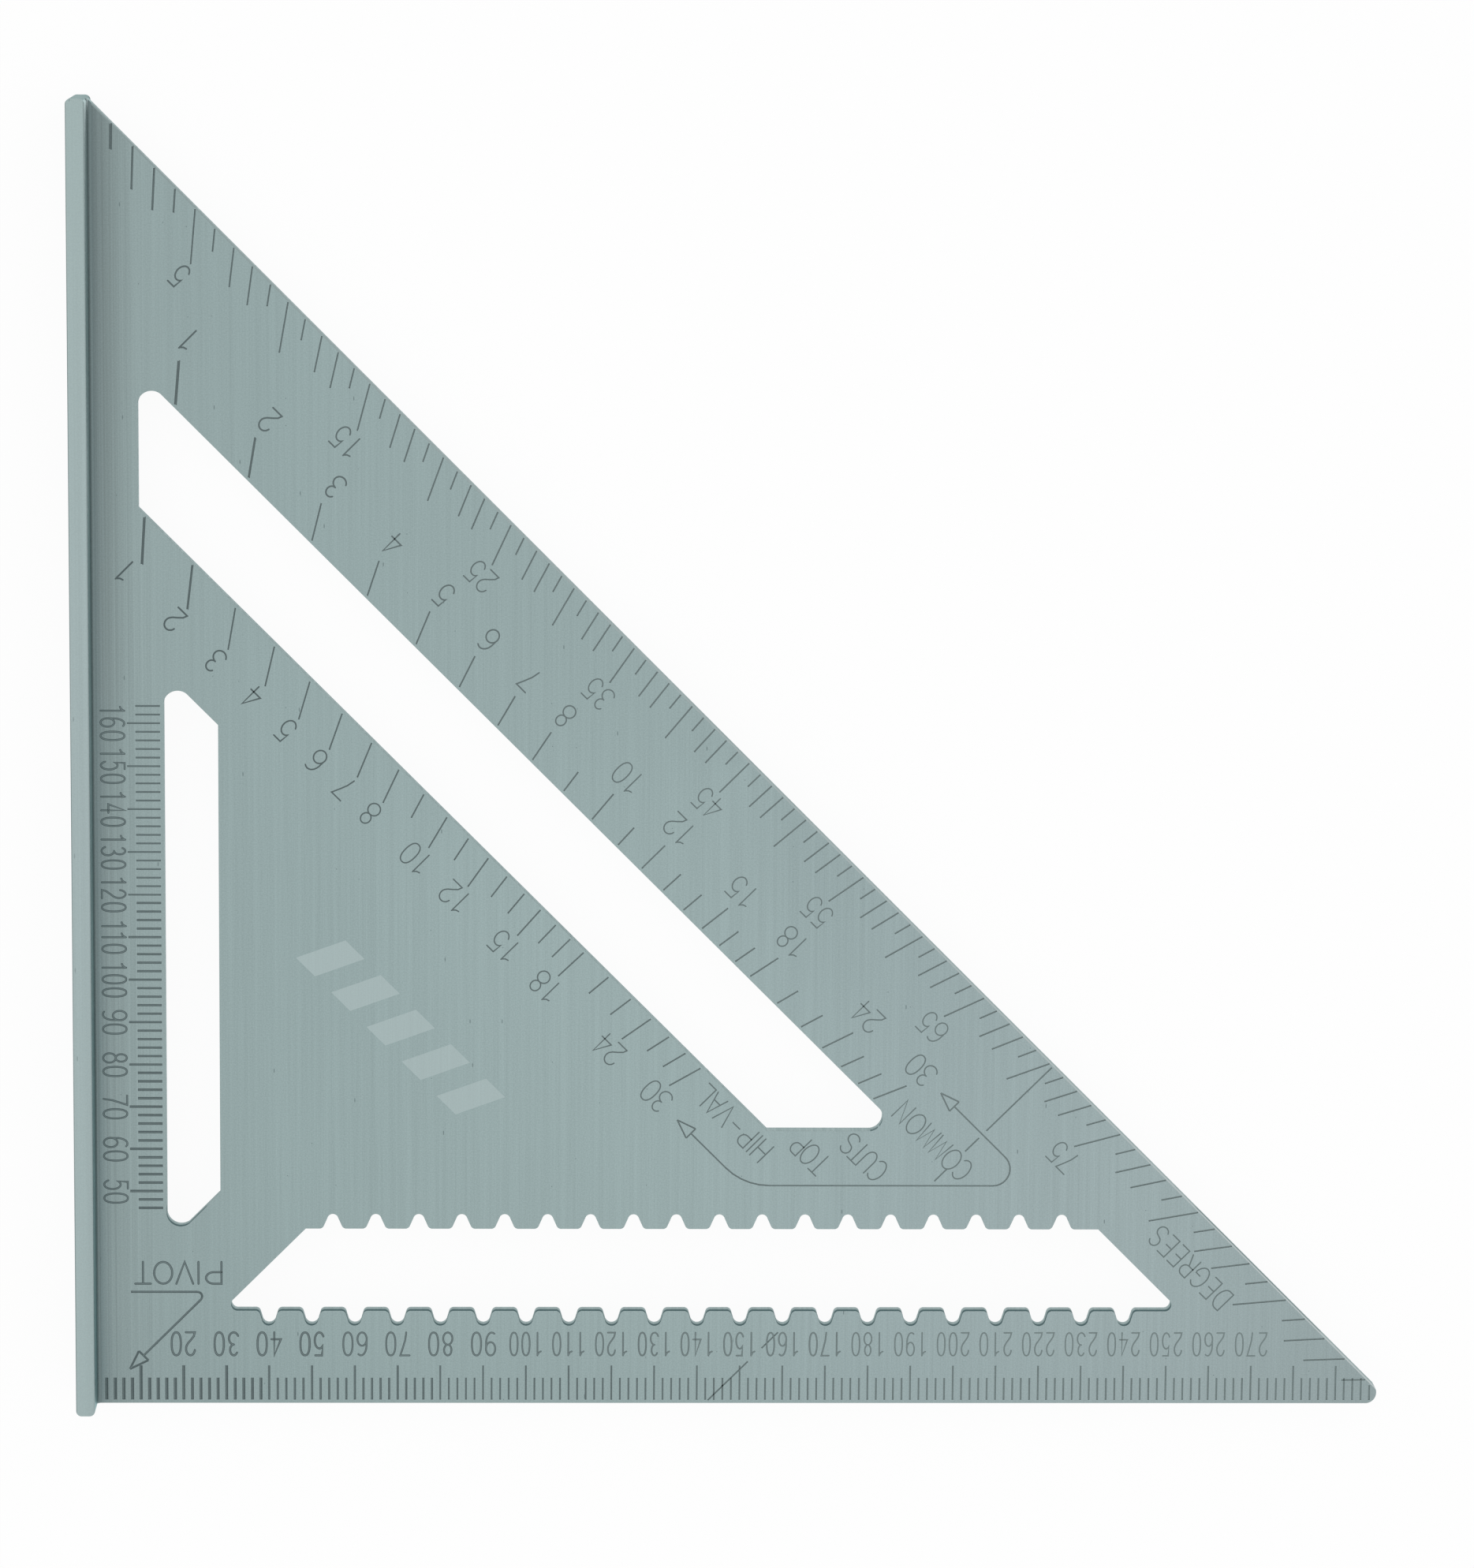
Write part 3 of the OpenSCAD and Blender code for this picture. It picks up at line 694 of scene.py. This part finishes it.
def along_ray(angle, total):
    """The point with this x + y on the ray at an angle from the Y axis."""
    way = Vector((math.sin(angle), math.cos(angle)))
    return way * total / (way.x + way.y)


def ray_burrs(e, node, angles, widths):
    marks = spans(node, lambda x, y: round(math.degrees(math.atan2(x, y)), 0), lambda x, y: x + y)
    for angle, width in zip(angles, widths):
        lo, hi = marks[round(math.degrees(angle), 0)]
        burr(e, along_ray(angle, hi), along_ray(angle, lo), RAY_EDGE, width)


def mark_burrs():
    e = Etching("mark_burrs", INK, "mark")
    for k, (lo, hi) in spans("heel_scale", lambda x, y: round(x / 2), lambda x, y: y).items():
        width = burr_width(2 * k, HEEL_BURRS)
        if width:
            burr(e, (2 * k, hi), (2 * k, lo), RULER_EDGE, width)
    for k, (lo, hi) in spans("fence_scale", lambda x, y: round(y / 2), lambda x, y: x).items():
        width = burr_width(2 * k, FENCE_BURRS)
        if width:
            burr(e, (lo, 2 * k), (hi, 2 * k), RULER_EDGE, width)
    ray_burrs(e, "degree_scale", [math.radians(a) for a in (1, 2, 3, 4)], (0.3, 0.12, 0.12, 0.06))
    ray_burrs(e, "common_scale", [math.atan(n / COMMON_RUN) for n in (1, 2)], (0.27, 0.15))
    ray_burrs(e, "hip_valley_scale", [math.atan(n / HIP_RUN) for n in (1, 2)], (0.25, 0.14))
    e.finish()


# ---------------------------------------------------------------- numerals and words, sizes in mm
LEFT, DOWN, UP_LEFT = (-1, 0), (0, -1), (-1, 1)         # the ways that the lettering reads
FINE, BOLD = 0.31, 0.5                        # widths of a stroke
HEEL_ROW = 13.65                              # y of the heel ruler's numerals
FENCE_ROW = 4.7                               # x of the fence ruler's numerals
COMMON_RUN, HIP_RUN = 12, 12 * ROOT2          # a pitch is a rise of n over this run
PITCHES = (1, 2, 3, 4, 5, 6, 7, 8, 10, 12, 15, 18, 24, 30)


def heel_numerals():
    e = Etching("heel_numerals", INK, "mark", INK_CORE)
    for n in range(20, 271, 10):
        if n < 100:
            e.number(n, (n + 0.1, HEEL_ROW), LEFT, (2.15, 5.5), 3.3, 0.5 if n < 60 else 0.44)
        else:
            e.number(n, (n, HEEL_ROW), LEFT, (1.75, 5.5), 2.8, 0.38 if n < 180 else 0.32)
    e.finish()


def fence_numerals():
    e = Etching("fence_numerals", INK, "mark", INK_CORE)
    for n in range(50, 161, 10):
        size, pitch = ((2.2, 5.45), 3.2) if n < 100 else ((1.95, 5.45), 3.1)
        e.number(n, (FENCE_ROW, n), DOWN, size, pitch, 0.46, 0.25)
    e.finish()


def degree_numerals():
    e = Etching("degree_numerals", INK, "mark")
    for a in range(5, 76, 10):
        place = diagonal(degree_in - 5.0, degree_in * math.tan(math.radians(a - 45)))
        e.number(a, place, UP_LEFT, (2.7, 5.4), 3.6, 0.42 - 0.004 * min(a, 30))
    e.finish()


def pitch_numerals(name, run, edge, shift):
    """The numerals of a pitch scale, in a row that lies shift outside its edge, both as x + y."""
    e = Etching(name, INK, "mark")
    for n in PITCHES:
        along = edge * math.tan(math.atan(n / run) - math.pi / 4) - (2.4 if n == 1 else 0.5)
        e.number(n, diagonal(edge + shift, along), UP_LEFT, (2.9, 5.5), 3.6, 0.42 - 0.012 * min(n, 9))
    e.finish()


def words(name, *lines, width=FINE, height=5.3, core=None):
    """Lines of (text, centre of the first letter, way, steps between letters, widths of letters)."""
    e = Etching(name, INK, "mark", core)
    for text, start, way, steps, letters in lines:
        e.word(text, start, way, steps, letters, height, width)
    e.finish()


def pale_panel_bars():
    """A plain row of pale bars where a maker would etch a mark."""
    e = Etching("pale_panel_bars", ETCH, "blade_metal")
    along, up = Vector((-1, 1)).normalized(), Vector((-1, -1)).normalized()
    middle, pitch = Vector((70.8, 88.9)), 11.5
    half_w, half_h, lean = 3.1, 5.5, 2.6
    bar = [(-half_w - lean, -half_h), (half_w - lean, -half_h), (half_w + lean, half_h),
           (-half_w + lean, half_h)]
    for i in range(-2, 3):
        centre = middle + along * i * pitch
        e.band([tuple(centre + along * a + up * b) for a, b in bar])
    e.finish()


mark_burrs()
heel_numerals()
fence_numerals()
degree_numerals()
pitch_numerals("common_numerals", COMMON_RUN, common_out, 6.9)
pitch_numerals("hip_valley_numerals", HIP_RUN, hip_in, -5.3)
words("pivot_word", ("PIVOT", (27.26, 30.62), LEFT, (3.55, 3.2, 5.0, 4.7), (3.6, 1, 3.9, 4.2, 3.6)),
      width=BOLD, height=5.2, core=INK_CORE)
words("common_word", ("COMMON", diagonal(256.9, 146.2), UP_LEFT, (3.5, 3.9, 4.0, 4.0, 4.1),
                      (3.0, 3.5, 3.3, 3.3, 3.5, 2.6)))
words("top_cuts_words",
      ("TOP", diagonal(225.0, 111.7), UP_LEFT, (3.4, 3.3), (2.6, 3.1, 2.4)),
      ("CUTS", diagonal(236.9, 126.6), UP_LEFT, (3.2, 2.9, 3.0), (3.0, 2.6, 2.6, 2.8)))
words("hip_valley_word", ("HIP-VAL", diagonal(214.6, 94.9), UP_LEFT, (2.4, 2.4, 3.6, 3.7, 3.4, 3.4),
                          (2.6, 1, 2.5, 2.2, 3.1, 3.1, 2.3)))
words("degrees_word", ("DEGREES", diagonal(287.4, 238.2), UP_LEFT, (3.6, 3.6, 3.8, 3.6, 3.3, 3.3),
                       (2.7, 2.2, 3.1, 2.5, 2.2, 2.2, 2.6)))
pale_panel_bars()

# ---------------------------------------------------------------- floor, world and lamps
FLOOR_HALF = 3.0                              # metres
FLOOR_GAP = 0.00005                           # keeps the floor and the fence's foot off one plane


def pale_floor_material():
    """Matt and pale, and near white where the camera or a mirror sees it."""
    g = Graph("floor")
    diffuse = g.nodes.new("ShaderNodeBsdfDiffuse")
    diffuse.inputs["Color"].default_value = (0.9, 0.9, 0.9, 1)
    glow = g.nodes.new("ShaderNodeEmission")
    glow.inputs["Color"].default_value = (1, 1, 1, 1)
    glow.inputs["Strength"].default_value = 1.0
    ray = g.nodes.new("ShaderNodeLightPath").outputs
    seen = g.larger(g.larger(ray["Is Camera Ray"], ray["Is Glossy Ray"]), ray["Is Transmission Ray"])
    blend = g.nodes.new("ShaderNodeMixShader")
    g.link(g.times(seen, 0.94), blend.inputs[0])
    g.link(diffuse.outputs[0], blend.inputs[1])
    g.link(glow.outputs[0], blend.inputs[2])
    g.link(blend.outputs[0], g.out.inputs["Surface"])
    return g.material


def pale_floor():
    mesh = bpy.data.meshes.new("floor")
    middle = (cad_box[0] + cad_box[1]) / 2
    corners = ((-1, -1), (1, -1), (1, 1), (-1, 1))
    mesh.from_pydata([(middle.x + sx * FLOOR_HALF, middle.y + sy * FLOOR_HALF, fence_lo.z - FLOOR_GAP)
                      for sx, sy in corners], [], [(0, 1, 2, 3)])
    mesh.materials.append(pale_floor_material())
    floor = bpy.data.objects.new("floor", mesh)
    bpy.context.scene.collection.objects.link(floor)


def studio_world():
    """Bright overhead and dimmer at the sides; white where the camera sees it."""
    world = bpy.data.worlds.new("world")
    bpy.context.scene.world = world
    world.use_nodes = True
    nodes, link = world.node_tree.nodes, world.node_tree.links.new
    nodes.clear()
    ray = nodes.new("ShaderNodeLightPath").outputs
    seen = nodes.new("ShaderNodeMath")
    seen.operation = "MAXIMUM"
    link(ray["Is Camera Ray"], seen.inputs[0])
    link(ray["Is Transmission Ray"], seen.inputs[1])
    way = nodes.new("ShaderNodeSeparateXYZ")
    link(nodes.new("ShaderNodeTexCoord").outputs["Generated"], way.inputs[0])
    sky = nodes.new("ShaderNodeMapRange")
    sky.interpolation_type = "SMOOTHSTEP"
    sky.inputs["From Min"].default_value = -0.05
    sky.inputs["From Max"].default_value = 0.75
    sky.inputs["To Min"].default_value = 0.60
    sky.inputs["To Max"].default_value = 0.90
    link(way.outputs["Z"], sky.inputs["Value"])
    strength = nodes.new("ShaderNodeMix")
    link(seen.outputs[0], strength.inputs["Factor"])
    link(sky.outputs[0], strength.inputs["A"])
    strength.inputs["B"].default_value = 1.0
    back = nodes.new("ShaderNodeBackground")
    back.inputs["Color"].default_value = (1, 1, 1, 1)
    link(strength.outputs["Result"], back.inputs["Strength"])
    link(back.outputs[0], nodes.new("ShaderNodeOutputWorld").inputs["Surface"])


def softbox(name, place, aim, size, power):
    data = bpy.data.lights.new(name, "AREA")
    data.shape = "RECTANGLE"
    data.size, data.size_y = size
    data.energy = power
    lamp = bpy.data.objects.new(name, data)
    bpy.context.scene.collection.objects.link(lamp)
    turn = (Vector(aim) - Vector(place)).to_track_quat("-Z", "Y").to_matrix()
    lamp.matrix_world = Matrix.Translation(place) @ turn.to_4x4()


pale_floor()
studio_world()
softbox("key", (-0.5, 0.6, 1.5), (0.12, 0.12, 0), (1.8, 1.8), 3.5)
softbox("fill", (1.3, -0.6, 1.0), (0.15, 0.12, 0), (1.6, 1.6), 1.2)
bpy.context.scene.view_settings.view_transform = "Standard"
